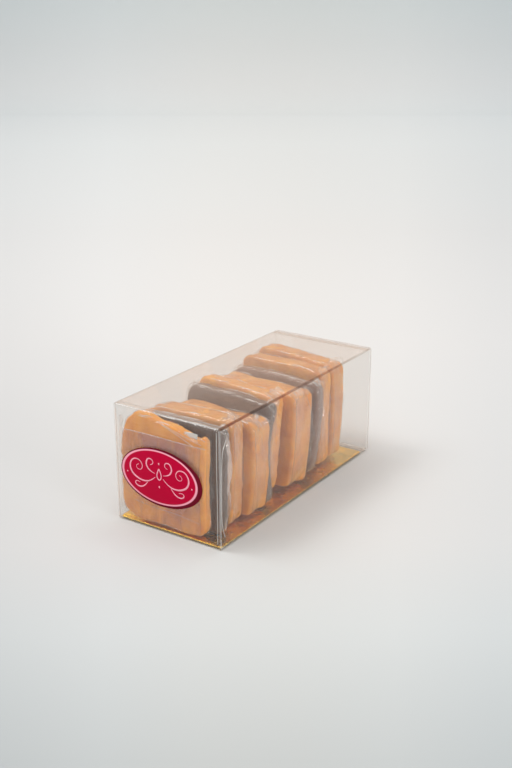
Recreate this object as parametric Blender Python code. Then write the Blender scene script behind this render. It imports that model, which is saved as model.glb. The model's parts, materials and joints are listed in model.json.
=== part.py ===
"""A clear folded box, lying on its long side, with a row of ten square caramel slabs on a gold card.

Metres, +Z up. The origin is under the middle of the box, on what it stands on. The end with the
oval label faces -Y, and the row of slabs runs back from it along +Y.
"""
import math

import bmesh
import bpy
from mathutils import Matrix, Vector, noise

MM = 0.001

# Driving dimensions of the box
BOX_WIDTH = 48 * MM
BOX_LENGTH = 110 * MM
BOX_HEIGHT = 47 * MM
SHEET = 0.3 * MM
FOLD_RADIUS = 0.8 * MM
FOLD_STEPS = 3
END_SLIT = 0.4 * MM

# Space kept between pieces that rest on each other
REST_GAP = 0.3 * MM

# The oval label stands on the front panel, so the box sits half the label's rise behind the origin
LABEL_HALF_WIDTH = 18.7 * MM
LABEL_HALF_HEIGHT = 11.3 * MM
LABEL_CENTRE_X = -2.7 * MM
LABEL_CENTRE_Z = 21.8 * MM
LABEL_THICKNESS = 0.15 * MM
LABEL_STEPS = 48
LABEL_RISE = REST_GAP + LABEL_THICKNESS
BOX_MIDDLE_Y = LABEL_RISE / 2
BOX_FRONT_Y = BOX_MIDDLE_Y - BOX_LENGTH / 2
BOX_BACK_Y = BOX_MIDDLE_Y + BOX_LENGTH / 2

# The gold card lies on the floor panel and stops short of the back panel
CARD_THICKNESS = 0.4 * MM
CARD_SIDE_GAP = 0.5 * MM
CARD_BACK_GAP = 5 * MM
CARD_CORNER = 1 * MM
CARD_CORNER_STEPS = 3
CARD_TOP_Z = SHEET + REST_GAP + CARD_THICKNESS

# A slab is a square of caramel cut by hand, about this size, standing on edge
SLAB_SQUARE = 40 * MM
SLAB_FOOT_Z = CARD_TOP_Z + 0.5 * MM
SLAB_CORNER = 3 * MM
SLAB_EDGE = 1.3 * MM
CORNER_STEPS = 4
SIDE_STEPS = 5
EDGE_STEPS = 2
WAVE = 0.55 * MM
WAVE_PITCH = 11 * MM

# One line for each slab, from the front panel to the back. Millimetres and degrees:
# its stuff, its middle right of the box's middle, the space in front of it at its foot, how much
# wider and higher than the square it is, its thickness, its lean back, its turn to the left seen
# from above, and how much its top edge falls to the right
SLABS = (
    ("caramel", -2.7, 0.60, 0.3, 1.8, 4.8, 1.2, 0.5, 2.4),
    ("dark", 1.1, 0.50, -3.6, 1.3, 5.0, 1.4, 1.8, 0.6),
    ("caramel", -1.9, 1.10, 0.5, 1.8, 8.8, 2.2, 4.2, 0.4),
    ("caramel", 1.5, 1.50, -1.5, -2.8, 12.0, 4.0, 1.2, 0.0),
    ("dark", -0.5, 1.30, 1.0, 1.3, 5.6, 5.4, -2.2, 0.9),
    ("caramel", -2.4, 0.80, -2.0, 2.5, 7.4, 6.2, -3.6, 1.4),
    ("caramel", -0.3, 1.90, 0.2, -0.6, 13.4, 6.6, -1.8, 0.8),
    ("dark", -0.8, 1.30, 2.5, 0.2, 5.2, 9.0, -1.0, 1.2),
    ("caramel", -3.0, 8.40, 1.0, 1.5, 8.0, 2.0, -2.0, 0.6),
    ("caramel", -2.5, 2.10, 0.0, 3.0, 8.4, 1.0, -4.6, 1.6),
)


def clear_scene():
    for thing in list(bpy.data.objects):
        bpy.data.objects.remove(thing, do_unlink=True)


def material(name, colour, roughness, metallic=0.0, transmission=0.0):
    made = bpy.data.materials.new(name)
    made.use_nodes = True
    shader = made.node_tree.nodes["Principled BSDF"]
    shader.inputs["Base Color"].default_value = (*colour, 1.0)
    shader.inputs["Roughness"].default_value = roughness
    shader.inputs["Metallic"].default_value = metallic
    shader.inputs["Transmission Weight"].default_value = transmission
    made.diffuse_color = (*colour, 1.0)
    return made


def add_object(name, form, stuff):
    """Makes a named object of a finished bmesh."""
    bmesh.ops.recalc_face_normals(form, faces=form.faces)
    mesh = bpy.data.meshes.new(name)
    form.to_mesh(mesh)
    form.free()
    mesh.materials.append(stuff)
    thing = bpy.data.objects.new(name, mesh)
    bpy.context.collection.objects.link(thing)
    return thing


def skin_rings(rings):
    """Closed form through rings of points, with a flat cap at each end."""
    form = bmesh.new()
    loops = [[form.verts.new(point) for point in ring] for ring in rings]
    for before, after in zip(loops, loops[1:]):
        for i, vert in enumerate(before):
            j = (i + 1) % len(before)
            form.faces.new((vert, before[j], after[j], after[i]))
    form.faces.new(loops[0])
    form.faces.new(loops[-1])
    return form


def rounded_rectangle(width, height, radius, steps, side_steps=1):
    """Points round a rectangle about the origin, with arcs at its corners."""
    points = []
    for corner in range(4):
        start = corner * math.pi / 2
        sign_x = 1 if corner in (0, 3) else -1
        sign_z = 1 if corner in (0, 1) else -1
        middle = Vector((sign_x * (width / 2 - radius), sign_z * (height / 2 - radius)))
        for step in range(steps + 1):
            angle = start + step * math.pi / 2 / steps
            points.append(middle + radius * Vector((math.cos(angle), math.sin(angle))))
        # the straight side that follows this corner
        run_along_x = corner in (0, 2)
        length = (width if run_along_x else height) - 2 * radius
        along = Vector((-sign_x, 0)) if run_along_x else Vector((0, -sign_z))
        last = points[-1].copy()
        for step in range(1, side_steps):
            points.append(last + along * length * step / side_steps)
    return points


def block(name, low, high):
    """A hidden cutter between two corners."""
    form = bmesh.new()
    bmesh.ops.create_cube(form, size=1.0)
    size = Vector(high) - Vector(low)
    middle = (Vector(high) + Vector(low)) / 2
    bmesh.ops.scale(form, vec=size, verts=form.verts)
    bmesh.ops.translate(form, vec=middle, verts=form.verts)
    mesh = bpy.data.meshes.new(name)
    form.to_mesh(mesh)
    form.free()
    cutter = bpy.data.objects.new(name, mesh)
    bpy.context.collection.objects.link(cutter)
    cutter.hide_render = True
    cutter.display_type = "WIRE"
    return cutter


def cut(thing, cutter):
    boolean = thing.modifiers.new(cutter.name, "BOOLEAN")
    boolean.operation = "DIFFERENCE"
    boolean.solver = "EXACT"
    boolean.object = cutter


def tube_ring(y, inset):
    """Rounded square section of the box at y, inset from its outside."""
    outline = rounded_rectangle(
        BOX_WIDTH - 2 * inset,
        BOX_HEIGHT - 2 * inset,
        max(FOLD_RADIUS - inset, 0.2 * MM),
        FOLD_STEPS,
    )
    return [Vector((p.x, y, BOX_HEIGHT / 2 + p.y)) for p in outline]


def clear_box(stuff):
    """One clear sheet folded round: four walls, and an end panel hinged on the floor at each end."""
    outside = skin_rings([tube_ring(BOX_FRONT_Y, 0), tube_ring(BOX_BACK_Y, 0)])
    box = add_object("clear_box", outside, stuff)
    hollow = skin_rings([tube_ring(BOX_FRONT_Y + SHEET, SHEET), tube_ring(BOX_BACK_Y - SHEET, SHEET)])
    inside = add_object("box_inside_cutter", hollow, stuff)
    inside.hide_render = True
    inside.display_type = "WIRE"
    cut(box, inside)
    wall_x = BOX_WIDTH / 2 - SHEET
    roof_z = BOX_HEIGHT - SHEET
    hinge_z = SHEET + FOLD_RADIUS
    for end_name, end_y in (("front", BOX_FRONT_Y), ("back", BOX_BACK_Y)):
        near = end_y - 2 * SHEET
        far = end_y + 2 * SHEET
        for side_name, side in (("left", -1), ("right", 1)):
            edges = sorted((side * wall_x, side * (wall_x - END_SLIT)))
            slit = block(
                f"{end_name}_{side_name}_slit_cutter",
                (edges[0], near, hinge_z),
                (edges[1], far, roof_z - END_SLIT / 2),
            )
            cut(box, slit)
        slit = block(
            f"{end_name}_top_slit_cutter",
            (-wall_x, near, roof_z - END_SLIT),
            (wall_x, far, roof_z),
        )
        cut(box, slit)
    return box


def gold_card(stuff):
    width = BOX_WIDTH - 2 * SHEET - 2 * CARD_SIDE_GAP
    front = BOX_FRONT_Y + SHEET + REST_GAP
    back = BOX_BACK_Y - CARD_BACK_GAP
    outline = rounded_rectangle(width, back - front, CARD_CORNER, CARD_CORNER_STEPS)
    middle = (front + back) / 2
    rings = []
    for z in (CARD_TOP_Z - CARD_THICKNESS, CARD_TOP_Z):
        rings.append([Vector((p.x, middle + p.y, z)) for p in outline])
    return add_object("gold_card", skin_rings(rings), stuff)


def label(stuff):
    rings = []
    for y in (BOX_FRONT_Y - LABEL_RISE, BOX_FRONT_Y - REST_GAP):
        ring = []
        for step in range(LABEL_STEPS):
            angle = 2 * math.pi * step / LABEL_STEPS
            x = LABEL_CENTRE_X + LABEL_HALF_WIDTH * math.cos(angle)
            z = LABEL_CENTRE_Z + LABEL_HALF_HEIGHT * math.sin(angle)
            ring.append(Vector((x, y, z)))
        rings.append(ring)
    return add_object("label", skin_rings(rings), stuff)


def slab_outline(width, height, fall, seed):
    """Hand-cut square standing on its foot: soft corners, wavy sides, a top edge that falls to the right."""
    outline = []
    for point in rounded_rectangle(width, height, SLAB_CORNER, CORNER_STEPS, SIDE_STEPS):
        place = Vector((point.x / WAVE_PITCH, point.y / WAVE_PITCH, seed * 7.3))
        push = noise.noise(place) * WAVE
        x = point.x + push * point.x / (width / 2)
        z = point.y + height / 2
        z -= fall * (x / width + 0.5) * max(0.0, z / height * 2 - 1)
        z += push * (point.y / height + 0.5)
        outline.append(Vector((x, z)))
    return outline


def slab_rings(outline, thickness):
    """Rings from the front face round a soft edge to the back face."""
    middle = sum(outline, Vector((0, 0))) / len(outline)
    rings = []
    turns = [step / EDGE_STEPS * math.pi / 2 for step in range(EDGE_STEPS + 1)]
    for side, order in ((-1, turns), (1, turns[::-1])):
        for angle in order:
            inset = SLAB_EDGE * (1 - math.sin(angle))
            depth = side * (thickness / 2 - SLAB_EDGE * (1 - math.cos(angle)))
            ring = []
            for point in outline:
                inward = (point - middle).normalized() * inset
                ring.append(Vector((point.x - inward.x, depth, point.y - inward.y)))
            rings.append(ring)
    return rings


def slabs(stuffs):
    """The row, each slab set behind the one before it."""
    reach = BOX_FRONT_Y + SHEET
    for number, row in enumerate(SLABS, start=1):
        stuff, x, gap, wider, higher, thickness, lean, turn, fall = row
        width = SLAB_SQUARE + wider * MM
        height = SLAB_SQUARE + higher * MM
        thickness *= MM
        outline = slab_outline(width, height, fall * MM, number)
        name = f"{'dark_' if stuff == 'dark' else ''}caramel_{number:02d}"
        slab = add_object(name, skin_rings(slab_rings(outline, thickness)), stuffs[stuff])
        foot_y = reach + gap * MM + thickness / 2
        slab.location = (x * MM, foot_y, SLAB_FOOT_Z + thickness / 2 * math.sin(math.radians(lean)))
        slab.rotation_euler = (-math.radians(lean), 0, math.radians(turn))
        reach = foot_y + thickness / 2
        slab.data.shade_smooth()
        slab.data.set_sharp_from_angle(angle=math.radians(40))


def build():
    clear_scene()
    clear_box(material("clear_plastic", (0.96, 0.95, 0.93), 0.05, transmission=1.0))
    gold_card(material("gold_foil", (0.83, 0.55, 0.16), 0.22, metallic=1.0))
    label(material("label_print", (0.52, 0.004, 0.035), 0.35))
    stuffs = {
        "caramel": material("caramel", (0.62, 0.27, 0.07), 0.4),
        "dark": material("dark_caramel", (0.075, 0.04, 0.028), 0.4),
    }
    slabs(stuffs)


build()
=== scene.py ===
"""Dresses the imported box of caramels: candies in crumpled film, gold card, oval label and clear box."""
import json
import math
import random

import bmesh
import bpy
import numpy as np
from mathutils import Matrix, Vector, noise

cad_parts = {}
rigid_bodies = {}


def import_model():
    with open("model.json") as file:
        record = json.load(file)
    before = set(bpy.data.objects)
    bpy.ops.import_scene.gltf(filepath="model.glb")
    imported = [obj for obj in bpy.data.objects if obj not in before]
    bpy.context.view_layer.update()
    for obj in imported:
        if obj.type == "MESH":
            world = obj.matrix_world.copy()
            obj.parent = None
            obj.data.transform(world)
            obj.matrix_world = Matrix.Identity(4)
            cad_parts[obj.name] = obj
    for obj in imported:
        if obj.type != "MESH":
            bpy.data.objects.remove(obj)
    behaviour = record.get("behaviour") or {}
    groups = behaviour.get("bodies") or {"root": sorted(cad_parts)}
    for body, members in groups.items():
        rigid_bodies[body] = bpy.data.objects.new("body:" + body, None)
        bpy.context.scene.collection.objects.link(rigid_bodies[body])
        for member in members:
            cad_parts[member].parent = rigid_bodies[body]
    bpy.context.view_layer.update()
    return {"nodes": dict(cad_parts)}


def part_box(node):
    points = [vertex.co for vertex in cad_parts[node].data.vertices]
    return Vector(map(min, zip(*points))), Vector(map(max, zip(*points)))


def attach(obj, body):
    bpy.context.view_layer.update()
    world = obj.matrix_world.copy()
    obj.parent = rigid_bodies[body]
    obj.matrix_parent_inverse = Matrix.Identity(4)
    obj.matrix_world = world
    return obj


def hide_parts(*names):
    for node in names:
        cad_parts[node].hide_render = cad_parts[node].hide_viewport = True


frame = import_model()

bl_info = {
    "name": "Boxed caramels",
    "version": (1, 0, 0),
    "blender": (4, 5, 0),
    "location": "View3D > Sidebar > Caramels",
    "description": "Dresses a clear box of film-wrapped caramel slabs",
    "category": "Add Mesh",
}

MM = 0.001
BODY = "root"
BOX_LOW, BOX_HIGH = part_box("clear_box")
LABEL_LOW, LABEL_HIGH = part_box("label")
BOX_SIZE = BOX_HIGH - BOX_LOW
BOX_MIDDLE = (BOX_HIGH + BOX_LOW) / 2
LABEL_MIDDLE = (LABEL_HIGH + LABEL_LOW) / 2
LABEL_HALF = (LABEL_HIGH - LABEL_LOW) / 2
GOLDEN = sorted(name for name in frame["nodes"] if name.startswith("caramel_"))
DARK = sorted(name for name in frame["nodes"] if name.startswith("dark_caramel_"))
SLABS = sorted(GOLDEN + DARK, key=lambda name: name[-2:])

# The label's printed ring sits a little off the sticker's middle
RING_SHIFT = Vector((-0.8, 0, 0.08)) * MM
RING_HALF_WIDTH = 17.5 * MM
RING_HALF_HEIGHT = 10.6 * MM

# The camera of the photograph
CAMERA_PLACE = Vector((222.2, -329.4, 184.8)) * MM
CAMERA_LOOK = Vector((-0.52286, 0.78281, -0.33737))
CAMERA_LENS_MM = 50
SWEEP_TURN = math.atan2(-CAMERA_LOOK.x, CAMERA_LOOK.y)

# Room in mm that loose film keeps from the walls, the ends, the floor under the card and the lid
WALL_ROOM = 0.7
END_ROOM = 0.55
FLOOR_ROOM = 1.05
LID_ROOM = 0.6
# How much further than their film the candies keep from the walls, in mm
CANDY_SPARE = 0.25

# How much light the candies let in, and how much of the film's haze shows on dark ones
GOLDEN_GLOW = 0.35
DARK_GLOW = 0.08
DARK_HAZE = 0.65

FILM_THICKNESS = 0.04 * MM
TUCK_DEPTH = 3 * MM
PRINT_LEVEL = BOX_LOW.y - 0.15 * MM


def length_property(name, description, default, low, high):
    """A length that a user would change, given in mm."""
    return bpy.props.FloatProperty(
        name=name, description=description, default=default * MM, min=low * MM, max=high * MM,
        precision=5, unit="LENGTH",
    )


def colour_property(name, description, default):
    return bpy.props.FloatVectorProperty(
        name=name, description=description, default=default, min=0, max=1, size=3, subtype="COLOR",
    )


class CaramelBoxSizes(bpy.types.PropertyGroup):
    """Sizes a user would change."""

    sheet: length_property("Sheet", "Thickness of the clear sheet", 0.3, 0.1, 0.6)
    fold_radius: length_property("Fold radius", "Radius of the box's four long folds", 0.8, 0.1, 3)
    panel_slit: length_property("Panel slit", "Gap round the sides and top of each end panel", 0.4, 0.1, 2)
    candy_voxel: length_property("Candy voxel", "Mesh size on the candies and their film", 0.7, 0.3, 2)
    film_gap: length_property("Film gap", "How far the film stands off the candy", 0.2, 0.05, 1)
    film_crumple: length_property(
        "Film crumple", "Depth of the film's creases where it is gathered", 1.1, 0, 3,
    )


class CaramelBoxColours(bpy.types.PropertyGroup):
    """Colours a user would change."""

    caramel: colour_property("Caramel", "Golden caramel", (0.81, 0.335, 0.037))
    dark: colour_property("Dark caramel", "Dark chocolate caramel", (0.105, 0.054, 0.034))
    foil: colour_property("Gold foil", "Foil face of the card", (1.0, 0.62, 0.09))
    crimson: colour_property("Crimson", "Field of the label", (0.52, 0.001, 0.036))
    ring: colour_property("Ring", "Pale ring and ornament of the label", (0.95, 0.40, 0.50))
    rim: colour_property("Rim", "Dark rim of the label", (0.15, 0.004, 0.016))
    floor: colour_property("Floor", "Pale floor", (0.70, 0.685, 0.665))


def only(thing):
    """Selects one object and makes it active."""
    bpy.ops.object.select_all(action="DESELECT")
    thing.select_set(True)
    bpy.context.view_layer.objects.active = thing


def edit(thing):
    only(thing)
    bpy.ops.object.mode_set(mode="EDIT")


def leave_edit():
    bpy.ops.object.mode_set(mode="OBJECT")


def face_outwards():
    """Turns all faces of the mesh in edit mode outwards."""
    bpy.ops.mesh.select_all(action="SELECT")
    bpy.ops.mesh.normals_make_consistent(inside=False)


def pick(thing, kind, test):
    """Selects the verts, edges or faces that pass a test, in edit mode."""
    modes = {"verts": "VERT", "edges": "EDGE", "faces": "FACE"}
    bpy.ops.mesh.select_mode(type=modes[kind])
    bpy.ops.mesh.select_all(action="DESELECT")
    form = bmesh.from_edit_mesh(thing.data)
    form.normal_update()
    for item in getattr(form, kind):
        item.select_set(bool(test(item)))
    form.select_flush_mode()
    bmesh.update_edit_mesh(thing.data)


def lies_at(edge, axis, level):
    """Whether an edge lies at one level of an axis, to a hundredth of a millimetre."""
    return all(abs(getattr(vert.co, axis) - level) < 0.01 * MM for vert in edge.verts)


def apply(thing, kind, **values):
    """Adds one modifier and applies it."""
    only(thing)
    modifier = thing.modifiers.new(kind.lower(), kind)
    for key, value in values.items():
        setattr(modifier, key, value)
    bpy.ops.object.modifier_apply(modifier=modifier.name)


def settle(thing):
    """Puts a piece's place into its mesh."""
    only(thing)
    bpy.ops.object.transform_apply(location=True, rotation=True, scale=True)


def join(things):
    bpy.ops.object.select_all(action="DESELECT")
    for thing in things:
        thing.select_set(True)
    bpy.context.view_layer.objects.active = things[0]
    bpy.ops.object.join()
    return bpy.context.object


def finish_piece(thing, name, stuff, slot, *nodes):
    thing.name = name
    thing.data.name = name
    if stuff:
        thing.data.materials.clear()
        thing.data.materials.append(stuff)
    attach(thing, BODY)
    if nodes:
        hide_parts(*nodes)


def give(thing, stuff):
    """Gives a fold its material, which it keeps when folds are joined."""
    thing.data.materials.append(stuff)
    return thing


def slot_of(name):
    return "dark_caramel" if name in DARK else "caramel"


def cloud_texture(name, size, depth=2):
    cloud = bpy.data.textures.new(name, "CLOUDS")
    cloud.noise_scale = size
    cloud.noise_depth = depth
    return cloud


def facet_texture(name, size):
    """Cells with sharp valleys between them, as crinkled film has."""
    cells = bpy.data.textures.new(name, "VORONOI")
    cells.noise_scale = size
    cells.weight_1 = -1.0
    cells.weight_2 = 1.0
    return cells


# Materials


def new_material(name):
    made = bpy.data.materials.new(name)
    made.use_nodes = True
    made.node_tree.nodes.clear()
    return made, made.node_tree


def plug(tree, socket, value):
    """Links a socket to another one, or sets it to a value."""
    if isinstance(value, bpy.types.NodeSocket):
        tree.links.new(value, socket)
    else:
        socket.default_value = value


def node(tree, kind, **values):
    """Adds a shader node; keys that name an input set or link it, others set the node."""
    made = tree.nodes.new(kind)
    for key, value in values.items():
        label_text = key.replace("_", " ").lower()
        match = [socket for socket in made.inputs if socket.name.lower() == label_text]
        if match:
            plug(tree, match[0], value)
        else:
            setattr(made, key, value)
    return made


def maths(tree, operation, first, second):
    made = node(tree, "ShaderNodeMath", operation=operation)
    plug(tree, made.inputs[0], first)
    plug(tree, made.inputs[1], second)
    return made.outputs["Value"]


def object_place(tree):
    return node(tree, "ShaderNodeTexCoord").outputs["Object"]


def axes_of(tree, place):
    return node(tree, "ShaderNodeSeparateXYZ", Vector=place).outputs


def object_noise(tree, scale, detail=4.0, stretch=(1, 1, 1), roughness=0.55):
    """Noise that stays with the piece, as its factor output."""
    mapping = node(tree, "ShaderNodeMapping", Vector=object_place(tree), Scale=stretch)
    grain = node(
        tree, "ShaderNodeTexNoise", Vector=mapping.outputs["Vector"],
        Scale=scale, Detail=detail, Roughness=roughness,
    )
    return grain.outputs["Fac"]


def ramp(tree, factor, stops):
    """Colour ramp through (position, colour) stops."""
    made = node(tree, "ShaderNodeValToRGB", Fac=factor)
    elements = made.color_ramp.elements
    while len(elements) < len(stops):
        elements.new(0.5)
    for element, (position, colour) in zip(elements, stops):
        element.position = position
        element.color = (*colour, 1)
    return made.outputs["Color"]


def spread(tree, factor, low, high, start=0.0, end=1.0):
    """Maps a factor from start..end to low..high."""
    made = node(
        tree, "ShaderNodeMapRange", Value=factor, From_Min=start, From_Max=end, To_Min=low, To_Max=high,
    )
    return made.outputs["Result"]


def tone(colour, factor):
    return tuple(min(1.0, part * factor) for part in colour)


def bump(tree, height, strength, distance, under=None):
    made = node(tree, "ShaderNodeBump", Height=height, Strength=strength, Distance=distance)
    if under:
        plug(tree, made.inputs["Normal"], under)
    return made.outputs["Normal"]


def mirror_share(tree, normal, head_on, edge_on=1.0):
    """How much a clear surface mirrors: little head on and most of it edge on."""
    facing = node(tree, "ShaderNodeLayerWeight", Blend=0.5, Normal=normal).outputs["Facing"]
    return spread(tree, maths(tree, "POWER", facing, 5.0), head_on, edge_on)


def mix_shaders(tree, share, first, second):
    """Mixes what two shader nodes give."""
    made = node(tree, "ShaderNodeMixShader", Fac=share)
    plug(tree, made.inputs[1], first.outputs[0])
    plug(tree, made.inputs[2], second.outputs[0])
    return made


def output(tree, shader):
    node(tree, "ShaderNodeOutputMaterial", Surface=shader.outputs[0])


def principled(tree, **values):
    output(tree, node(tree, "ShaderNodeBsdfPrincipled", **values))


def candy_material(name, colour, glow):
    """Soft cooked caramel: mottled colour, slight translucence, fine knife marks and pits."""
    made, tree = new_material(name)
    deep = tuple(part * share for part, share in zip(colour, (0.80, 0.68, 0.50)))
    light = tuple(part * share for part, share in zip(colour, (1.06, 1.20, 1.30)))
    mottle = ramp(tree, object_noise(tree, 130, 5), ((0.30, deep), (0.52, colour), (0.75, light)))
    marks = bump(tree, object_noise(tree, 420, 3, stretch=(0.25, 1.0, 2.2)), 0.35, 0.4 * MM)
    pits = bump(tree, object_noise(tree, 900, 2), 0.18, 0.15 * MM, marks)
    principled(
        tree, Base_Color=mottle, Roughness=0.45, IOR=1.45, Specular_IOR_Level=0.3, Normal=pits,
        Subsurface_Weight=glow, Subsurface_Radius=(1.0, 0.45, 0.12), Subsurface_Scale=2.2 * MM,
    )
    return made


def film_material(name, haze, milk_colour, upright=0.16):
    """Thin clear wrapping film: gloss, crisp creases, and milky streaks where it stands off the candy."""
    made, tree = new_material(name)
    facets = node(tree, "ShaderNodeTexVoronoi", Vector=object_place(tree), Scale=330)
    wide = bump(tree, object_noise(tree, 200, 3, roughness=0.6), 0.8, 1.0 * MM)
    grain = bump(tree, facets.outputs["Distance"], 0.35, 0.6 * MM, wide)
    clear = node(tree, "ShaderNodeBsdfTransparent", Color=(0.995, 0.99, 0.985, 1))
    gloss = node(tree, "ShaderNodeBsdfGlossy", Roughness=0.06, Normal=grain)
    milk = node(tree, "ShaderNodeBsdfDiffuse", Color=(*milk_colour, 1))
    stand_off = node(tree, "ShaderNodeAttribute", attribute_name="stand_off").outputs["Fac"]
    streaks = spread(tree, object_noise(tree, 210, 3, stretch=(1, 1, upright)), 0.2, 2.2, 0.38, 0.70)
    cloud = spread(tree, maths(tree, "MULTIPLY", stand_off, streaks), 0.0, haze)
    body = mix_shaders(tree, cloud, clear, milk)
    output(tree, mix_shaders(tree, mirror_share(tree, grain, 0.045, 0.55), body, gloss))
    return made


def sheet_material(name, tint, head_on, roughness, milk_share, ripple, far_tint=None):
    """Stiff clear sheet: shows what is behind it, mirrors more the more edge on it is seen."""
    made, tree = new_material(name)
    waves = bump(tree, object_noise(tree, 45, 2), ripple, 0.6 * MM)
    clear = node(tree, "ShaderNodeBsdfTransparent", Color=(*tint, 1))
    gloss = node(tree, "ShaderNodeBsdfGlossy", Roughness=roughness, Normal=waves)
    milk = node(tree, "ShaderNodeBsdfDiffuse", Color=(0.95, 0.94, 0.92, 1))
    # A far tint fades the tint along the box; only the top right fold's painted amber shade uses it
    if far_tint:
        along = spread(tree, axes_of(tree, object_place(tree))["Y"], 0, 1, -60 * MM, 48 * MM)
        plug(tree, clear.inputs["Color"], ramp(tree, along, ((0.0, tint), (1.0, far_tint))))
    body = mix_shaders(tree, milk_share, clear, milk)
    output(tree, mix_shaders(tree, mirror_share(tree, waves, head_on), body, gloss))
    return made


def foil_material(colour):
    """Gold foil laid on card: mirror-like, with scuffs and waves that fade towards the free back end."""
    made, tree = new_material("gold_foil_face")
    flatter = spread(tree, axes_of(tree, object_place(tree))["Y"], 1.0, 0.2, 32 * MM, 44 * MM)
    wide = maths(tree, "MULTIPLY", flatter, object_noise(tree, 90, 3, stretch=(1, 0.5, 1)))
    ripples = maths(tree, "MULTIPLY", flatter, object_noise(tree, 380, 3, roughness=0.65))
    waves = bump(tree, ripples, 1.0, 0.8 * MM, bump(tree, wide, 1.0, 1.3 * MM))
    scuff = object_noise(tree, 500, 4)
    shade = ramp(tree, scuff, ((0.3, tone(colour, 0.9)), (0.7, tone(colour, 1.05))))
    principled(
        tree, Base_Color=shade, Metallic=1.0, Roughness=spread(tree, scuff, 0.16, 0.34), Normal=waves,
    )
    return made


def label_material(colours):
    """Printed sticker: crimson field, thin pale ring a little off centre, dark rim."""
    made, tree = new_material("label_sticker")
    oval = node(
        tree, "ShaderNodeMapping", vector_type="TEXTURE", Vector=object_place(tree),
        Location=LABEL_MIDDLE + RING_SHIFT, Scale=(RING_HALF_WIDTH, 1, RING_HALF_HEIGHT),
    )
    flat = node(tree, "ShaderNodeVectorMath", operation="MULTIPLY", Vector=oval.outputs["Vector"])
    flat.inputs[1].default_value = (1, 0, 1)
    reach = node(tree, "ShaderNodeVectorMath", operation="LENGTH", Vector=flat.outputs["Vector"])
    crimson, ring, rim = (tuple(colour) for colour in (colours.crimson, colours.ring, colours.rim))
    stops = ((0.469, crimson), (0.474, ring), (0.496, ring), (0.501, rim))
    principled(
        tree, Base_Color=ramp(tree, spread(tree, reach.outputs["Value"], 0, 1, 0, 2), stops),
        Roughness=0.5, Specular_IOR_Level=0.05,
        Normal=bump(tree, object_noise(tree, 1500, 3), 0.12, 0.05 * MM),
    )
    return made


def ink_material(colour):
    """Pale print of the label's ornament."""
    made, tree = new_material("label_ink")
    patchy = ramp(tree, object_noise(tree, 700, 3), ((0.3, tone(colour, 0.86)), (0.7, tone(colour, 1.08))))
    principled(tree, Base_Color=patchy, Roughness=0.5, Specular_IOR_Level=0.12)
    return made


# The sweep's painted shade: where, how light and how cool, from its near edge to its far end, and across
# its sides
SWEEP_REACH = (-0.35, 1.95)
SWEEP_SHADE_STOPS = (
    (0.070, 0.65, 0.07), (0.104, 0.84, 0.05), (0.130, 0.92, 0.01), (0.235, 0.99, 0.0), (0.374, 1.02, 0.015),
    (0.439, 1.05, 0.03), (0.630, 1.15, 0.045), (0.791, 1.21, 0.035), (0.876, 1.10, 0.02),
    (0.930, 1.02, 0.035), (0.969, 0.98, 0.06),
)
SIDE_REACH = (-0.3, 0.3)
SIDE_SHADE_STOPS = (
    (0.0, (0.86, 0.88, 0.90)), (0.135, (0.89, 0.91, 0.93)), (0.285, (0.97, 0.985, 1)), (0.43, (1, 1, 1)),
    (0.57, (1, 1, 1)), (0.715, (1, 1.01, 1.02)), (0.865, (0.935, 0.96, 0.985)), (1.0, (0.90, 0.93, 0.95)),
)
# How far in front of the origin the painted side shade fans out from, in metres
FAN_START = 0.463


def floor_material(colour):
    """Pale matt paper sweep with painted shade: a little darker and cooler at its near edge, its far end
    and its sides.
    """
    made, tree = new_material("pale_sweep")
    turned = node(
        tree, "ShaderNodeMapping", vector_type="TEXTURE",
        Vector=object_place(tree), Rotation=(0, 0, SWEEP_TURN),
    )
    axes = axes_of(tree, turned.outputs["Vector"])
    back = maths(tree, "ADD", axes["Y"], axes["Z"])
    along = ramp(tree, spread(tree, back, 0, 1, *SWEEP_REACH), [
        (position, (colour[0] * part, colour[1] * part * (1 + cool), colour[2] * part * (1 + 1.3 * cool)))
        for position, part, cool in SWEEP_SHADE_STOPS
    ])
    fan = maths(tree, "DIVIDE", axes["X"], maths(tree, "ADD", axes["Y"], FAN_START))
    sides = ramp(tree, spread(tree, fan, 0, 1, *SIDE_REACH), SIDE_SHADE_STOPS)
    both = node(tree, "ShaderNodeMix", data_type="RGBA", blend_type="MULTIPLY")
    for socket, value in ((0, 1.0), (6, along), (7, sides)):
        plug(tree, both.inputs[socket], value)
    principled(tree, Base_Color=both.outputs[2], Roughness=0.8, Specular_IOR_Level=0.2)
    return made


# Pieces

# How light or deep single candies are painted beside their kind's colour: partly their own tone, partly
# painted light and shade
CANDY_TONE_AND_LIGHT = {
    # caramel_01 at the front is painted lighter for its light, caramel_03 painted deeper for the shade it
    # sits in
    "caramel_01": 1.14, "caramel_03": 0.90, "caramel_04": 0.93, "caramel_09": 0.94, "caramel_10": 0.92,
    "dark_caramel_02": 0.80, "dark_caramel_08": 2.2,
}

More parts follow.
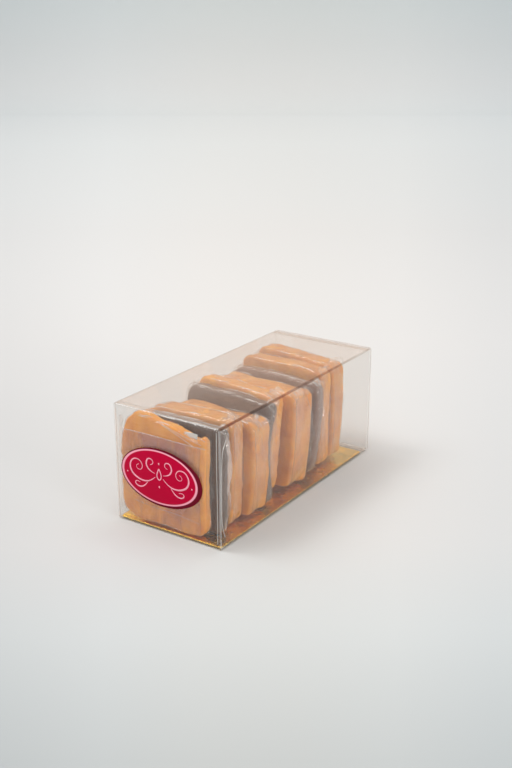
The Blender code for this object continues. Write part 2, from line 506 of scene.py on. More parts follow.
# Dents and bulges that show on single candies: place, reach and push in the slab's own axes, in mm
CANDY_DENTS = {
    "caramel_01": (
        ((20, 0, 0), 45, (-2.0, 0, 0)), ((-9, 0, 21), 5, (0, -0.4, 0.3)),
        ((12, 0, 19), 3, (0, 0.5, -0.6)), ((17, 0, 19), 3, (0, 0, 0.8)),
    ),
    "dark_caramel_02": (((-18, 0, 20), 6, (1.5, 0, -1.0)), ((6, 0, 20), 8, (0, 0, 0.5))),
    "caramel_03": (((-19, 0, 20), 10, (1.4, 0, -3.0)), ((20, 0, -20), 6, (-0.5, 0, 0.4))),
    "caramel_04": (
        ((19, 0, -19), 6, (-0.6, 0, 0.4)), ((-12, 0, 20), 14, (0, 0, 0.8)),
        ((19, 0, 18), 6, (-0.6, 0, -0.8)), ((20, -2, 0), 16, (0.9, 0, 0)),
    ),
    "dark_caramel_05": (
        ((-20, 0, 20), 7, (0.6, 0, -0.7)), ((3, 0, 21), 9, (0, 0, 0.6)), ((21, 0, 0), 30, (-2.2, 0, 0)),
    ),
    "caramel_06": (
        ((-19, 0, 20), 7, (1.0, 0, -0.5)), ((20, 0, -20), 8, (-1.4, 0, 1.4)),
        ((20, -3, 2), 20, (0.3, -0.8, 0)),
    ),
    "caramel_07": (
        ((-20, 0, 19), 7, (1.2, 0, -0.9)), ((20, 0, -19), 8, (-1.0, 0, 0.7)), ((20, 0, 0), 32, (1.3, 0, 0)),
    ),
    "dark_caramel_08": (
        ((-20, 0, 19), 7, (1.5, 0, -1.0)), ((20, 0, -19), 7, (-1.2, 0, 1.2)), ((20, 0, 0), 30, (1.2, 0, 0)),
    ),
    "caramel_09": (((-20, 0, 20), 8, (1.0, 0, -0.6)), ((0, 0, 21), 30, (0, 0, 0.6))),
    "caramel_10": (
        ((-20, 0, 21), 7, (1.2, 0, -0.8)), ((0, 0, 21), 30, (0, 0, 0.8)), ((20, 0, 0), 30, (1.0, 0, 0)),
    ),
}

# The front candy's hand-cut upper and lower edges: x and z in the box, in mm
FRONT_TOP = (
    (-23, 26), (-22.3, 33), (-21.1, 37.4), (-19.7, 41.2), (-18.0, 42.6), (-16.1, 44.6), (-11.3, 45.8),
    (-8.0, 45.0), (-4.2, 44.3), (1.8, 44.2), (5.0, 43.2), (8.7, 42.4), (10.5, 41.3), (13.5, 41.0),
    (15.0, 42.2), (17.2, 42.9), (18.6, 41.8), (19.6, 38.0), (20.5, 30),
)
FRONT_BOTTOM = (
    (-23, 11), (-22.2, 6.5), (-21.0, 3.9), (-18.4, 2.7), (-15.0, 1.4), (8.0, 1.2), (14.0, 1.6), (17.0, 3.4),
    (18.9, 6.8), (19.8, 12),
)

# Length in mm of the film gathered at each slab's left (-1) and right (1) top corner
TUFT_LENGTHS = {
    "caramel_01": {}, "dark_caramel_02": {1: 3.5}, "caramel_03": {1: 5.5}, "caramel_04": {1: 6.5},
    "dark_caramel_05": {-1: 2.5, 1: 3.0}, "caramel_06": {1: 4.0}, "caramel_07": {1: 4.5},
    "dark_caramel_08": {-1: 2.5, 1: 4.5}, "caramel_09": {1: 3.0}, "caramel_10": {1: 2.5},
}

# How many pleats fan round each slab's top right corner, and how many streaks run along its top edges; all
# are whitish painted highlights
PLEAT_COUNTS = (0, 5, 14, 14, 6, 10, 10, 10, 6, 5)
HIGHLIGHT_STREAK_COUNTS = (3, 6, 6, 6, 6, 6, 6, 6, 6, 3)

# Fine ridges in the front film, whitish painted highlight lines: x and z on the front face, in mm
FRONT_HIGHLIGHT_RIDGES = (
    ((-19.6, 37.0), (-8.6, 37.4), (3.6, 37.2), (14.4, 37.2), (18.4, 37.4)),
    ((-4.2, 43.2), (2.8, 41.6), (9.6, 39.8), (16.4, 38.5)),
    ((8.7, 41.6), (15.0, 41.4), (18.0, 40.2)),
    ((8.7, 41.5), (11.6, 40.2), (15.0, 39.4)),
    ((-2.0, 42.4), (4.0, 40.6), (10.1, 38.3), (13.0, 37.3)),
    ((-16.0, 9.6), (-6.0, 8.6), (6.0, 8.9), (16.0, 7.6)),
)

# One side of the label's flourish: x and z from the ring's middle in mm, and widths
FLOURISH = (
    (
        ((1.8, -0.2), (4.0, -2.4), (8.2, -3.2), (12.6, -1.4), (13.9, 2.0), (12.2, 5.0), (9.0, 5.2),
         (7.4, 3.0), (8.4, 1.0), (10.4, 1.2), (10.6, 2.8), (9.4, 3.2)),
        (0.5, 0.9, 1.4, 1.6, 1.4, 1.1, 0.9, 0.7, 0.6, 0.5, 0.5, 0.5),
    ),
    (
        ((2.0, 1.2), (4.4, 1.6), (6.2, 4.2), (5.0, 6.8), (2.8, 6.4), (2.6, 4.6), (4.0, 4.2)),
        (0.5, 1.0, 1.4, 1.1, 0.8, 0.6, 0.5),
    ),
    (
        ((5.4, -3.0), (6.8, -5.0), (9.6, -6.0), (11.6, -4.8), (10.6, -3.4), (9.0, -4.0)),
        (0.5, 1.0, 1.2, 0.9, 0.6, 0.5),
    ),
    (((14.6, -0.9), (15.1, -0.9)), (1.2, 1.2)),
)

# Creases in the clear sheet near the front right corner, drawn as whitish rods that are painted highlights,
# in mm
WALL_HIGHLIGHT_CREASES = (
    (
        (23.75, -51.0, 41.7), (23.75, -52.2, 39.9), (23.75, -53.2, 37.9), (23.75, -53.6, 35.1),
        (23.75, -54.0, 27.6), (23.75, -54.0, 19.9), (23.75, -54.1, 12.1), (23.75, -53.4, 7.8),
        (23.75, -52.2, 4.5),
    ),
    ((22.2, -54.55, 45.0), (22.1, -54.55, 30.0), (22.3, -54.55, 14.0), (22.2, -54.55, 2.0)),
)


class SlabFrame:
    """A slab's own axes, fitted to its CAD solid: across, back and up, with its reach along each."""

    def __init__(self, name):
        points = np.array([tuple(vert.co) for vert in frame["nodes"][name].data.vertices])
        self.middle = Vector((points.max(0) + points.min(0)) / 2)
        flat = np.c_[np.ones(len(points)), points[:, 0], points[:, 2]]
        _, turn, lean = np.linalg.lstsq(flat, points[:, 1], rcond=None)[0]
        self.across = Vector((1, turn, 0)).normalized()
        self.back = Vector((-turn, 1, -lean)).normalized()
        self.up = self.across.cross(self.back).normalized()
        offsets = points - np.array(self.middle)
        self.reach = {}
        for key in ("across", "back", "up"):
            along = offsets @ np.array(getattr(self, key))
            self.reach[key] = (along.min(), along.max())

    def point(self, across, back, up):
        return self.middle + self.across * across + self.back * back + self.up * up

    def local(self, place):
        offset = place - self.middle
        return Vector((offset.dot(self.across), offset.dot(self.back), offset.dot(self.up)))


def line_piece(name, points, radius, widths=None):
    """A thin rod along points, through a curve that is made a mesh."""
    curve = bpy.data.curves.new(name, "CURVE")
    curve.dimensions = "3D"
    curve.bevel_depth = radius
    curve.bevel_resolution = 1
    curve.use_fill_caps = True
    spline = curve.splines.new("NURBS")
    spline.points.add(len(points) - 1)
    for index, place in enumerate(points):
        spline.points[index].co = (*place, 1)
        spline.points[index].radius = widths[index] if widths else 1.0
    spline.use_endpoint_u = True
    spline.order_u = 3
    spline.resolution_u = 4
    made = bpy.data.objects.new(name, curve)
    bpy.context.collection.objects.link(made)
    only(made)
    bpy.ops.object.convert(target="MESH")
    bpy.ops.object.shade_smooth()
    return bpy.context.object


def cad_copy(name):
    """A merged copy of a CAD node's mesh, as a new piece."""
    piece = bpy.data.objects.new(name + "_copy", frame["nodes"][name].data.copy())
    bpy.context.collection.objects.link(piece)
    edit(piece)
    bpy.ops.mesh.select_all(action="SELECT")
    bpy.ops.mesh.remove_doubles(threshold=0.01 * MM)
    face_outwards()
    leave_edit()
    return piece


def paint_stand_off(piece, rule):
    """Keeps, at each point, how far the film stands off what it wraps (0 touching, 1 loose)."""
    layer = piece.data.color_attributes.new("stand_off", "FLOAT_COLOR", "POINT")
    for vert in piece.data.vertices:
        value = max(0.0, min(1.0, rule(vert)))
        layer.data[vert.index].color = (value, value, value, 1)


def dent(piece, own, name):
    """Gives a candy, or its film, the dents and bulges of its slab."""
    for place, reach, push in CANDY_DENTS[name]:
        spot = own.point(*(part * MM for part in place))
        move = (own.across * push[0] + own.back * push[1] + own.up * push[2]) * MM
        for vert in piece.data.vertices:
            near = 1 - ease((vert.co - spot).length, 0.0, reach * MM)
            vert.co += move * near


def trim(piece, own, line, sign):
    """Brings a candy's upper (1) or lower (-1) edge to a line of x and z, in millimetres."""
    across, levels = np.array(line).T
    edge = own.reach["up"][1 if sign > 0 else 0]
    for vert in piece.data.vertices:
        level = own.local(vert.co).z
        wanted = np.interp(vert.co.x / MM, across, levels) * MM - own.middle.z
        share = max(0.0, min(1.0, level / edge)) ** 1.5
        vert.co += own.up * (wanted - edge) * share


def shape_slab(piece, own, name):
    """Gives a candy, or its film, its slab's own outline and dents."""
    if name == SLABS[0]:
        trim(piece, own, FRONT_TOP, 1)
        trim(piece, own, FRONT_BOTTOM, -1)
    dent(piece, own, name)


def keep_inside(piece, spare=0.0):
    """Presses a piece back between the walls, with some mm to spare there, and the card and the lid."""
    low = BOX_LOW + Vector((WALL_ROOM + spare, END_ROOM, FLOOR_ROOM)) * MM
    high = BOX_HIGH - Vector((WALL_ROOM + spare, END_ROOM, LID_ROOM)) * MM
    for vert in piece.data.vertices:
        for axis in range(3):
            vert.co[axis] = max(low[axis], min(high[axis], vert.co[axis]))


def ease(value, start, end):
    part = max(0.0, min(1.0, (value - start) / (end - start)))
    return part * part * (3 - 2 * part)


class CARAMELBOX_OT_candies(bpy.types.Operator):
    """Adds the ten soft, uneven candy slabs"""

    bl_idname = "caramel_box.candies"
    bl_label = "Candies"

    def execute(self, context):
        sizes = context.scene.caramel_box_sizes
        colours = context.scene.caramel_box_colours
        lumps = cloud_texture("candy_lumps", 9 * MM)
        dents = cloud_texture("candy_dents", 2.6 * MM)
        for name in SLABS:
            piece = cad_copy(name)
            apply(piece, "REMESH", mode="VOXEL", voxel_size=sizes.candy_voxel)
            apply(piece, "SMOOTH", factor=0.5, iterations=3)
            apply(piece, "DISPLACE", texture=lumps, strength=1.0 * MM, mid_level=0.6)
            apply(piece, "DISPLACE", texture=dents, strength=0.4 * MM, mid_level=0.55)
            shape_slab(piece, SlabFrame(name), name)
            keep_inside(piece, CANDY_SPARE)
            bpy.ops.object.shade_smooth()
            # Each candy's colour carries its own tone and its painted light and shade from the candy tone
            # table
            shade = tone(colours.dark if name in DARK else colours.caramel, CANDY_TONE_AND_LIGHT.get(name, 1.0))
            stuff = candy_material(name + "_candy", shade, DARK_GLOW if name in DARK else GOLDEN_GLOW)
            finish_piece(piece, name + "_candy", stuff, slot_of(name), name)
        return {"FINISHED"}


class CARAMELBOX_OT_films(bpy.types.Operator):
    """Adds the clear film wrapped round each candy"""

    bl_idname = "caramel_box.films"
    bl_label = "Wrapping film"

    def execute(self, context):
        sizes = context.scene.caramel_box_sizes
        stuff = film_material("wrapping_film", 0.26, (0.82, 0.64, 0.58))
        creases = facet_texture("film_creases", 5 * MM)
        slack = cloud_texture("film_slack", 8 * MM, 1)
        for name in SLABS:
            own = SlabFrame(name)
            piece = cad_copy(name)
            edit(piece)
            bpy.ops.mesh.select_all(action="SELECT")
            bpy.ops.transform.shrink_fatten(value=sizes.film_gap)
            leave_edit()
            apply(piece, "REMESH", mode="VOXEL", voxel_size=sizes.candy_voxel)
            shape_slab(piece, own, name)
            self.mark_gathered(piece, own)
            apply(piece, "DISPLACE", texture=creases, strength=sizes.film_crumple, mid_level=0.3,
                  vertex_group="gathered")
            apply(piece, "DISPLACE", texture=slack, strength=0.35 * MM, mid_level=0.45)
            keep_inside(piece)
            bpy.ops.object.shade_smooth()
            share = DARK_HAZE if name in DARK else 1.0
            paint_stand_off(piece, lambda vert: share * self.stand_off(own, vert))
            finish_piece(piece, name + "_film", stuff, slot_of(name), name)
        return {"FINISHED"}

    @staticmethod
    def mark_gathered(piece, own):
        """Weighs how much the film crumples: little on its faces and most at its top corners."""
        side = own.reach["across"][1]
        top = own.reach["up"][1]
        gathered = piece.vertex_groups.new(name="gathered")
        for vert in piece.data.vertices:
            place = own.local(vert.co)
            edge_x = ease(abs(place.x), side - 3 * MM, side)
            edge_z = ease(place.z, top - 4 * MM, top)
            weight = 0.12 + 0.35 * max(edge_x, edge_z) + 0.5 * edge_x * edge_z
            gathered.add([vert.index], min(1.0, weight), "REPLACE")

    @staticmethod
    def stand_off(own, vert):
        """The film is loosest on the front half of each side."""
        place = own.local(vert.co)
        normal = Vector((vert.normal.dot(own.across), vert.normal.dot(own.back), vert.normal.dot(own.up)))
        front_half = 1 - ease(place.y, -1.0 * MM, 2.0 * MM)
        on_side, on_top, on_front, on_back = (
            ease(part, 0.4, 0.8) for part in (abs(normal.x), normal.z, -normal.y, normal.y)
        )
        loose_side = on_side * (0.16 + 0.14 * front_half)
        return 0.12 + loose_side + 0.10 * on_top + 0.04 * on_front + 0.12 * on_back


class CARAMELBOX_OT_film_folds(bpy.types.Operator):
    """Adds the film's loose folds: side flaps, gathered tufts at the top corners, and the front seam"""

    bl_idname = "caramel_box.film_folds"
    bl_label = "Film folds"

    def execute(self, context):
        stuff = film_material("folded_film", 0.30, (0.90, 0.76, 0.70))
        tuft_stuff = film_material("gathered_film", 0.15, (0.95, 0.87, 0.82), 1.0)
        # The front film's dark mauve haze is painted shade on the front candy's face, strongest in its
        # middle
        front_shade_stuff = film_material("front_film", 0.21, (0.52, 0.24, 0.32), 0.3)
        # Ridges, creases and the front pleat are real folds, made whitish with milk as painted highlights
        ridge_highlight_stuff = sheet_material("film_ridge", (0.95, 0.92, 0.89), 0.20, 0.12, 0.60, 0.1)
        crease_highlight_stuff = sheet_material("film_crease", (0.96, 0.94, 0.92), 0.20, 0.10, 0.80, 0.1)
        for index, name in enumerate(SLABS):
            own = SlabFrame(name)
            folds = [give(self.side_flap(own, sign, index), stuff) for sign in (-1, 1)]
            for sign, length in TUFT_LENGTHS[name].items():
                folds.append(give(self.tuft(own, sign, index, length), tuft_stuff))
            if index == 0:
                folds.append(give(self.front_flap(own), front_shade_stuff))
                folds += [give(self.ridge(own, path), ridge_highlight_stuff) for path in FRONT_HIGHLIGHT_RIDGES]
                folds.append(give(self.pleat(own), ridge_highlight_stuff))
            piece = join(folds)
            dent(piece, own, name)
            creases = self.creases(own, bpy.data.objects[name + "_film"], random.Random(index + 3), index)
            piece = join([piece] + [give(crease, crease_highlight_stuff) for crease in creases])
            keep_inside(piece)
            finish_piece(piece, name + "_film_folds", None, slot_of(name))
        return {"FINISHED"}

    @staticmethod
    def sheet(columns, rows, place, loose):
        """A thin sheet whose corner-to-corner places u, v in 0..1 go where a rule puts them."""
        bpy.ops.object.select_all(action="DESELECT")
        bpy.ops.mesh.primitive_grid_add(x_subdivisions=columns, y_subdivisions=rows, size=1)
        made = bpy.context.object
        paint_stand_off(made, lambda vert: loose(vert.co.x + 0.5, vert.co.y + 0.5))
        for vert in made.data.vertices:
            vert.co = place(vert.co.x + 0.5, vert.co.y + 0.5)
        bpy.ops.object.shade_smooth()
        apply(made, "SOLIDIFY", thickness=FILM_THICKNESS, offset=0)
        return made

    def side_flap(self, own, sign, seed):
        """The end of the wrap, folded over the side: a long band, loose at its free edge."""
        front, back = own.reach["back"]
        low, high = own.reach["up"]
        side = own.reach["across"][1 if sign > 0 else 0]
        width = (back - front) * (0.6 + 0.4 * noise.noise(Vector((seed * 3.1, sign, 0))))

        def place(u, v):
            wander = noise.noise_vector(Vector((seed * 7.7, u * 2.0, v * 7.0))) * 0.9 * MM
            taper = 1 - 0.35 * abs(2 * v - 1) ** 2
            lift = (0.35 + 0.9 * u ** 2) * MM * min(1.0, 4 * v, 4 * (1 - v)) * (1.0 if sign > 0 else 0.3)
            return own.point(
                side + sign * (0.3 * MM + lift) + wander.x * u,
                front + 0.2 * MM + width * u * taper + wander.y * u,
                low + 2.2 * MM + (high - low - 4.4 * MM) * v,
            )

        def loose(u, v):
            if (seed, sign) == (1, 1):
                return ease(u, 0.35, 0.6)
            return 0.2 * (1 - u ** 2) * (0.5 + 0.8 * noise.noise(Vector((seed, u, 3 * v))))

        return self.sheet(8, 60, place, loose)

    def tuft(self, own, sign, seed, length_mm):
        """Film gathered at a top corner, crumpled into small facets, with no straight edge."""
        front, back = own.reach["back"]
        high = own.reach["up"][1]
        side = own.reach["across"][1 if sign > 0 else 0]
        length = length_mm * MM
        depth = min(1.0, length_mm / 6.0) * 2.2 * MM

        def place(u, v):
            crumple = noise.noise_vector(Vector((seed * 5.3 + sign, u * 4.0, v * 4.0))) * depth
            ragged = noise.noise_vector(Vector((seed * 2.3 + sign, u * 2.5, v * 2.5 + 9))) * depth
            inner = min(1.0, 3 * max(0.0, 1 - 2 * max(abs(u - 0.5), abs(v - 0.5))))
            return own.point(
                side - sign * length * (1 - u) + ragged.x + crumple.x * inner,
                front + (back - front) * v + ragged.y * 0.5,
                high - 2.0 * MM * u ** 3 + (0.9 * inner - 0.3) * MM + crumple.z * inner,
            )

        return self.sheet(18, 14, place, lambda u, v: ease(min(u, 1 - u, v, 1 - v), 0.0, 0.35))

    def creases(self, own, film, chance, index):
        """Fine pleats in the film, made whitish as painted highlights: a fan round the top right corner and
        streaks along the top edges.
        """
        front, back = (value / MM for value in own.reach["back"])
        side = own.reach["across"][1] / MM
        top = own.reach["up"][1] / MM
        made = []
        for _ in range(PLEAT_COUNTS[index]):
            deep = chance.uniform(front, back)
            along = chance.uniform(2.0, 6.5)
            down = chance.uniform(1.0, 5.0)
            turn_x = side - chance.uniform(0.2, 1.5)
            turn = (turn_x, deep + chance.uniform(-0.8, 0.8), top - chance.uniform(0.2, 1.0))
            end = (side, deep + chance.uniform(-0.8, 0.8), top - down)
            path = ((side - along, deep, top), turn, end)
            made.append(self.crease(own, film, path, chance.uniform(0.06, 0.16)))
        for _ in range(HIGHLIGHT_STREAK_COUNTS[index]):
            deep = chance.choice((front, front + 0.8, back - 0.4))
            start = chance.uniform(-side + 3, side - 12)
            reach = chance.uniform(4, 11)
            path = []
            for part in (0, 0.3, 0.6, 1):
                path.append((start + reach * part, deep + chance.uniform(-0.4, 0.4), top))
            made.append(self.crease(own, film, path, chance.uniform(0.07, 0.15)))
        if index == len(SLABS) - 1:
            for path in self.back_creases(side, back, top, chance):
                made.append(self.crease(own, film, path, 0.12))
        return made

    @staticmethod
    def back_creases(side, back, top, chance):
        """The last candy's back: a seam down its middle and short pleats that run in from its corners."""
        seam = [(chance.uniform(-0.6, 0.6), back + 1, top * part) for part in (0.9, 0.5, 0.1, -0.4, -0.9)]
        paths = [seam, [(x + 3.2, y, z) for x, y, z in seam]]
        for corner_x in (-1, 1):
            for corner_z in (-1, 1):
                for _ in range(4):
                    x, z = corner_x * (side - 1), corner_z * (top - 1)
                    inner = (x * chance.uniform(0.45, 0.8), back + 1, z * chance.uniform(0.45, 0.8))
                    halfway = ((x + inner[0]) / 2 + chance.uniform(-0.6, 0.6), back + 1, (z + inner[2]) / 2)
                    paths.append([(x, back + 1, z), halfway, inner])
        return paths

    @staticmethod
    def crease(own, film, path, radius):
        """One pleat that follows the film along a path in the slab's own axes, in mm."""
        points = []
        for place in path:
            found, spot, normal, _ = film.closest_point_on_mesh(own.point(*(part * MM for part in place)))
            if not found:
                raise RuntimeError("a crease has no film under it")
            points.append(spot + normal * 0.05 * MM)
        widths = [0.3] + [1.0] * (len(points) - 2) + [0.3]
        return line_piece("film_crease", points, radius * MM, widths)

    def front_flap(self, own):
        """The second layer of the front film, below its level seam; its dark haze is painted shade."""
        front = own.reach["back"][0]
        low = own.reach["up"][0]
        seam = 37.2 * MM - own.middle.z

        def place(u, v):
            wave = noise.noise_vector(Vector((u * 4, v * 4, 3.3))) * 0.18 * MM
            level = low + 1 * MM + (seam - low - 1 * MM) * v
            return own.point((-18.6 + 37.2 * u) * MM, front - 0.55 * MM + wave.x, level)

        def loose(u, v):
            # Painted shade: the haze thins to the left and right sides and thickens towards the seam
            left = 0.85 * ease(u, 0.05, 0.25)
            right = 1 - 0.6 * ease(u, 0.7, 0.88)
            return 0.15 + left * right * (0.4 + 0.6 * ease(v, 0.4, 0.8))

        return self.sheet(40, 36, place, loose)

    def pleat(self, own):
        """A small pleat at the front candy's top right corner, made bright with whitish milk as a painted
        highlight.
        """
        front_y = own.point(0, own.reach["back"][0], 0).y - 0.9 * MM
        places = ((9.0, 42.4), (15.0, 42.6), (11.6, 40.9), (15.0, 40.3))
        corners = [Vector((x, 0, z)) * MM for x, z in places]

        def place(u, v):
            low = corners[2].lerp(corners[3], u)
            spot = low.lerp(corners[0].lerp(corners[1], u), v)
            spot.y = front_y + 0.3 * MM * math.sin(math.pi * u)
            return spot

        return self.sheet(6, 4, place, lambda u, v: 1.0)

    @staticmethod
    def ridge(own, path):
        """A fine doubled crease along a path on the front film, a whitish painted highlight line."""
        front_y = own.point(0, own.reach["back"][0], 0).y
        lean = own.up.y / own.up.z
        points = []
        for x, z in path:
            points.append((x * MM, front_y - 0.75 * MM + (z * MM - own.middle.z) * lean, z * MM))
        return line_piece("film_ridge", points, 0.08 * MM)


# The clear sheet's finishes, in the order of its materials: the top right fold's amber is painted
# reflection and shade, the cut edges' whitish milk painted highlight
FLAT, FOLD, CUT_EDGE, AMBER_FOLD_SHADE = range(4)


class CARAMELBOX_OT_clear_box(bpy.types.Operator):
    """Adds the clear folded sheet: a four-walled tube with an end panel hinged at each end"""

    bl_idname = "caramel_box.clear_box"
    bl_label = "Clear box"

    def execute(self, context):
        sizes = context.scene.caramel_box_sizes
        flat = sheet_material("clear_sheet", (0.985, 0.982, 0.976), 0.045, 0.04, 0.015, 0.25)
        fold = sheet_material("clear_fold", (0.95, 0.93, 0.91), 0.10, 0.10, 0.05, 0.25)
        # Painted reflection and shade: the top right fold is tinted amber for the caramels behind it,
        # fading pale towards the far end
        amber = sheet_material("amber_fold", (0.60, 0.40, 0.27), 0.05, 0.10, 0.02, 0.25, (0.90, 0.87, 0.84))
        # Cut edges and wall creases get whitish milk, a painted highlight
        edge = sheet_material("clear_edge", (0.86, 0.84, 0.81), 0.22, 0.15, 0.45, 0.1)
        pieces = [self.tube(sizes), self.end_panel(sizes, -1), self.end_panel(sizes, 1)]
        for piece in pieces:
            for stuff in (flat, fold, edge, amber):
                piece.data.materials.append(stuff)
            for face in piece.data.polygons:
                face.material_index = self.finish_of(piece, face, sizes)
        # Whitish rods near the front right corner: painted highlights of the bent sheet
        for path in WALL_HIGHLIGHT_CREASES:
            pieces.append(line_piece("wall_crease", [Vector(place) * MM for place in path], 0.12 * MM))
            pieces[-1].data.materials.append(edge)
        piece = join(pieces)
        bpy.ops.object.shade_smooth_by_angle(angle=math.radians(35))
        finish_piece(piece, "clear_box_sheet", None, "clear_plastic", "clear_box")
        return {"FINISHED"}

    @staticmethod
    def finish_of(piece, face, sizes):
        """A face's finish; a cut edge is one sheet wide, and only the top right fold takes the painted
        amber shade.
        """
        corners = [piece.data.vertices[index].co for index in face.vertices]
        sides = [(corners[i] - corners[i - 1]).length for i in range(len(corners))]
        if abs(min(sides) - sizes.sheet) < 0.05 * sizes.sheet:
            return CUT_EDGE
        if max(abs(part) for part in face.normal) > 0.99:
            return FLAT
        top_right = abs(face.normal.y) < 0.1 and face.center.x > 0 and face.center.z > BOX_MIDDLE.z
        return AMBER_FOLD_SHADE if top_right else FOLD

    @staticmethod
    def tube(sizes):
        bpy.ops.object.select_all(action="DESELECT")
        bpy.ops.mesh.primitive_cube_add(size=1, location=BOX_MIDDLE)
        piece = bpy.context.object
        piece.scale = BOX_SIZE
        settle(piece)
        edit(piece)
        pick(piece, "edges", lambda e: abs((e.verts[0].co - e.verts[1].co).y) > BOX_SIZE.y / 2)
        bpy.ops.mesh.bevel(offset=sizes.fold_radius, segments=5, profile=0.5)
        pick(piece, "faces", lambda f: abs(f.normal.y) > 0.9)
        bpy.ops.mesh.delete(type="FACE")
        leave_edit()
        apply(piece, "SOLIDIFY", thickness=sizes.sheet, offset=-1, use_even_offset=True)
        return piece

    @staticmethod
    def end_panel(sizes, side):
        """A flat panel with a rounded hinge at the floor and a short rounded tuck at the top."""
        sheet = sizes.sheet
        face_y = BOX_LOW.y if side < 0 else BOX_HIGH.y
        width = BOX_SIZE.x - 2 * (sheet + sizes.panel_slit)
        low = sheet + 0.02 * MM
        high = BOX_HIGH.z - sheet - 0.08 * MM
        bpy.ops.object.select_all(action="DESELECT")
        bpy.ops.mesh.primitive_plane_add(
            size=1, location=(BOX_MIDDLE.x, face_y, (low + high) / 2), rotation=(math.pi / 2, 0, 0),
        )
        piece = bpy.context.object
        piece.scale = (width, high - low, 1)
        settle(piece)
        edit(piece)
        for level in (low, high):
            pick(piece, "edges", lambda e: lies_at(e, "y", face_y) and lies_at(e, "z", level))
            bpy.ops.mesh.extrude_edges_move(TRANSFORM_OT_translate={"value": (0, -side * TUCK_DEPTH, 0)})
        pick(piece, "edges", lambda e: lies_at(e, "y", face_y) and lies_at(e, "z", e.verts[0].co.z))
        bpy.ops.mesh.bevel(offset=0.5 * MM, segments=4, profile=0.5)
        face_outwards()
        leave_edit()
        broad = max(piece.data.polygons, key=lambda face: face.area)
        if broad.normal.y * side < 0:
            edit(piece)
            bpy.ops.mesh.select_all(action="SELECT")
            bpy.ops.mesh.flip_normals()
            leave_edit()
        apply(piece, "SOLIDIFY", thickness=sheet, offset=-1, use_even_offset=True)
        return piece


class CARAMELBOX_OT_gold_card(bpy.types.Operator):
    """Adds the gold foil card with its rounded, slightly worn rim"""

    bl_idname = "caramel_box.gold_card"
    bl_label = "Gold card"

    def execute(self, context):
        colours = context.scene.caramel_box_colours
        piece = cad_copy("gold_card")
        top = max(vert.co.z for vert in piece.data.vertices)
        edit(piece)
        pick(piece, "edges", lambda e: all(v.co.z > top - 0.02 * MM for v in e.verts)
             and len(e.link_faces) == 2 and e.calc_face_angle(0) > 1
             and e.verts[0].co.y + e.verts[1].co.y < 1.95 * BOX_LOW.y)
        bpy.ops.mesh.bevel(offset=0.3 * MM, segments=4, profile=0.5)
        leave_edit()
        bpy.ops.object.shade_smooth_by_angle(angle=math.radians(30))
        finish_piece(piece, "gold_card_foil", foil_material(tuple(colours.foil)), "gold_foil", "gold_card")
        return {"FINISHED"}


class CARAMELBOX_OT_label(bpy.types.Operator):
    """Adds the oval sticker and its generic scroll ornament"""

    bl_idname = "caramel_box.label"
    bl_label = "Label"

    def execute(self, context):
        colours = context.scene.caramel_box_colours
        bpy.ops.object.select_all(action="DESELECT")
        bpy.ops.mesh.primitive_circle_add(
            vertices=128, radius=1, fill_type="NGON", rotation=(math.pi / 2, 0, 0),
            location=(LABEL_MIDDLE.x, BOX_LOW.y - 0.02 * MM, LABEL_MIDDLE.z),
        )
        piece = bpy.context.object
        piece.scale = (LABEL_HALF.x, LABEL_HALF.z, 1)
        settle(piece)
        edit(piece)
        bpy.ops.mesh.select_all(action="SELECT")
        bpy.ops.mesh.extrude_region_move(TRANSFORM_OT_translate={"value": (0, -0.13 * MM, 0)})
        pick(piece, "edges", lambda e: all(v.co.y < BOX_LOW.y - 0.1 * MM for v in e.verts))
        bpy.ops.mesh.bevel(offset=0.05 * MM, segments=2)
        face_outwards()
        leave_edit()
        bpy.ops.object.shade_smooth_by_angle(angle=math.radians(30))
        finish_piece(piece, "label_sticker", label_material(colours), "label_print", "label")
        self.ornament(ink_material(tuple(colours.ring)))
        return {"FINISHED"}

    def ornament(self, stuff):
        """A generic, even-sided flourish round a lozenge, printed in pale ink."""
        strokes = [self.stroke([(0, 3.4), (1.5, 0.9), (0, -1.6), (-1.5, 0.9), (0, 3.4)], (1.0,) * 5)]
        for side in (-1, 1):
            for path, widths in FLOURISH:
                strokes.append(self.stroke([(side * x, z) for x, z in path], widths))
        for z in (5.4, -3.8):
            strokes.append(self.stroke([(-0.25, z), (0.25, z)], (1.8, 1.8)))
        piece = join(strokes)
        edit(piece)
        bpy.ops.mesh.select_all(action="SELECT")
        bpy.ops.transform.resize(value=(1, 0.12, 1), center_override=(0, PRINT_LEVEL, 0))
        leave_edit()
        finish_piece(piece, "label_ornament", stuff, "label_print", "label")

    @staticmethod
    def stroke(points, widths):
        middle = LABEL_MIDDLE + RING_SHIFT
        places = [(middle.x + x * MM, PRINT_LEVEL, middle.z + z * MM) for x, z in points]
        return line_piece("label_stroke", places, 0.26 * MM, widths)


# Soft square lamps that shine at the origin: name, place and width in metres, and watts
LAMPS = (
    ("left_lamp", (-0.78, -0.42, 1.35), 0.60, 10.5),
    ("fill_lamp", (0.85, -0.20, 0.16), 0.28, 2.3),
    ("rim_glint_lamp", (-0.42, 0.05, 0.70), 0.12, 0.35),
    ("top_glint_lamp", (0.10, 0.25, 0.70), 0.09, 0.30),
    ("side_glint_lamp", (0.70, 0.25, 0.16), 0.10, 0.35),
)


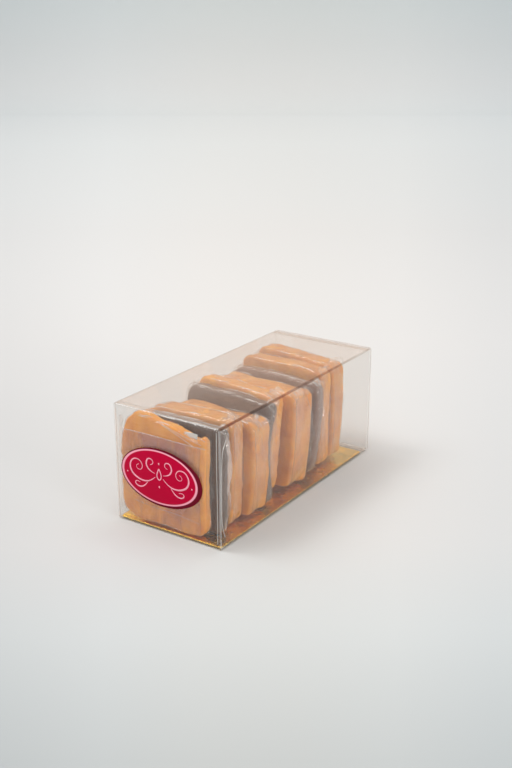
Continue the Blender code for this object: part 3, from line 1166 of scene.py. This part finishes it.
class CARAMELBOX_OT_stage(bpy.types.Operator):
    """Adds the pale floor, the soft lights and the camera"""

    bl_idname = "caramel_box.stage"
    bl_label = "Stage"

    def execute(self, context):
        colours = context.scene.caramel_box_colours
        self.sweep(floor_material(tuple(colours.floor)))
        scene = context.scene
        scene.world = self.surround()
        for settings in LAMPS:
            self.lamp(*settings)
        bpy.ops.object.camera_add(location=CAMERA_PLACE)
        camera = bpy.context.object
        camera.rotation_euler = CAMERA_LOOK.to_track_quat("-Z", "Y").to_euler()
        camera.data.lens = CAMERA_LENS_MM
        camera.data.sensor_width = 36
        camera.data.clip_start = 1 * MM
        scene.camera = camera
        scene.view_settings.view_transform = "Standard"
        scene.cycles.transparent_max_bounces = 32
        return {"FINISHED"}

    @staticmethod
    def surround():
        """Even soft light, with a warm glow where the top panel and the card mirror it."""
        world = bpy.data.worlds.new("soft_surround")
        world.use_nodes = True
        tree = world.node_tree
        tree.nodes.clear()
        place = node(tree, "ShaderNodeTexCoord").outputs["Generated"]
        towards = node(tree, "ShaderNodeVectorMath", operation="DOT_PRODUCT", Vector=place)
        towards.inputs[1].default_value = (CAMERA_LOOK.x, CAMERA_LOOK.y, -CAMERA_LOOK.z)
        levels = ((0.80, (0.79, 0.79, 0.79)), (0.93, (0.96, 0.74, 0.61)))
        shade = ramp(tree, towards.outputs["Value"], levels)
        glow = node(tree, "ShaderNodeBackground", Color=shade, Strength=1.0)
        node(tree, "ShaderNodeOutputWorld", Surface=glow.outputs["Background"])
        return world

    @staticmethod
    def sweep(stuff):
        """Floor that curves up into a backdrop, square to the camera's line of sight."""
        bpy.ops.object.select_all(action="DESELECT")
        bpy.ops.mesh.primitive_plane_add(size=1, location=(0, 0.1, -0.1 * MM))
        floor = bpy.context.object
        floor.name = "pale_sweep"
        floor.scale = (6, 2.8, 1)
        settle(floor)
        edit(floor)
        far = 1.5
        radius = 0.2
        pick(floor, "edges", lambda e: all(v.co.y > far - 0.01 for v in e.verts))
        bpy.ops.mesh.spin(steps=24, angle=-math.pi / 2, center=(0, far, radius), axis=(1, 0, 0))
        leave_edit()
        height = max(vert.co.z for vert in floor.data.vertices)
        if max(vert.co.y for vert in floor.data.vertices) < far + 0.15 or height < 0.15:
            raise RuntimeError("the sweep did not curve up and away")
        edit(floor)
        pick(floor, "edges", lambda e: all(v.co.z > height - 1 * MM for v in e.verts))
        bpy.ops.mesh.extrude_edges_move(TRANSFORM_OT_translate={"value": (0, 0, 0.05)})
        leave_edit()
        floor.rotation_euler.z = SWEEP_TURN
        settle(floor)
        bpy.ops.object.shade_smooth()
        floor.data.materials.append(stuff)

    @staticmethod
    def lamp(name, place, size, energy):
        bpy.ops.object.light_add(type="AREA", location=place)
        lamp = bpy.context.object
        lamp.name = name
        lamp.data.size = size
        lamp.data.energy = energy
        lamp.rotation_euler = (-lamp.location).to_track_quat("-Z", "Y").to_euler()


class CARAMELBOX_PT_panel(bpy.types.Panel):
    """Lists the pieces of the box of caramels."""

    bl_label = "Boxed caramels"
    bl_idname = "CARAMELBOX_PT_panel"
    bl_space_type = "VIEW_3D"
    bl_region_type = "UI"
    bl_category = "Caramels"

    def draw(self, context):
        for group in (context.scene.caramel_box_sizes, context.scene.caramel_box_colours):
            for key in group.__annotations__:
                self.layout.prop(group, key)
        for kind in OPERATORS:
            self.layout.operator(kind.bl_idname)


OPERATORS = (
    CARAMELBOX_OT_candies,
    CARAMELBOX_OT_films,
    CARAMELBOX_OT_film_folds,
    CARAMELBOX_OT_gold_card,
    CARAMELBOX_OT_label,
    CARAMELBOX_OT_clear_box,
    CARAMELBOX_OT_stage,
)
CLASSES = (CaramelBoxSizes, CaramelBoxColours, *OPERATORS, CARAMELBOX_PT_panel)


def register():
    for kind in CLASSES:
        bpy.utils.register_class(kind)
    bpy.types.Scene.caramel_box_sizes = bpy.props.PointerProperty(type=CaramelBoxSizes)
    bpy.types.Scene.caramel_box_colours = bpy.props.PointerProperty(type=CaramelBoxColours)


def unregister():
    del bpy.types.Scene.caramel_box_colours
    del bpy.types.Scene.caramel_box_sizes
    for kind in reversed(CLASSES):
        bpy.utils.unregister_class(kind)


def main():
    register()
    bpy.ops.caramel_box.candies()
    bpy.ops.caramel_box.films()
    bpy.ops.caramel_box.film_folds()
    bpy.ops.caramel_box.gold_card()
    bpy.ops.caramel_box.label()
    bpy.ops.caramel_box.clear_box()
    bpy.ops.caramel_box.stage()


if __name__ == "__main__":
    main()
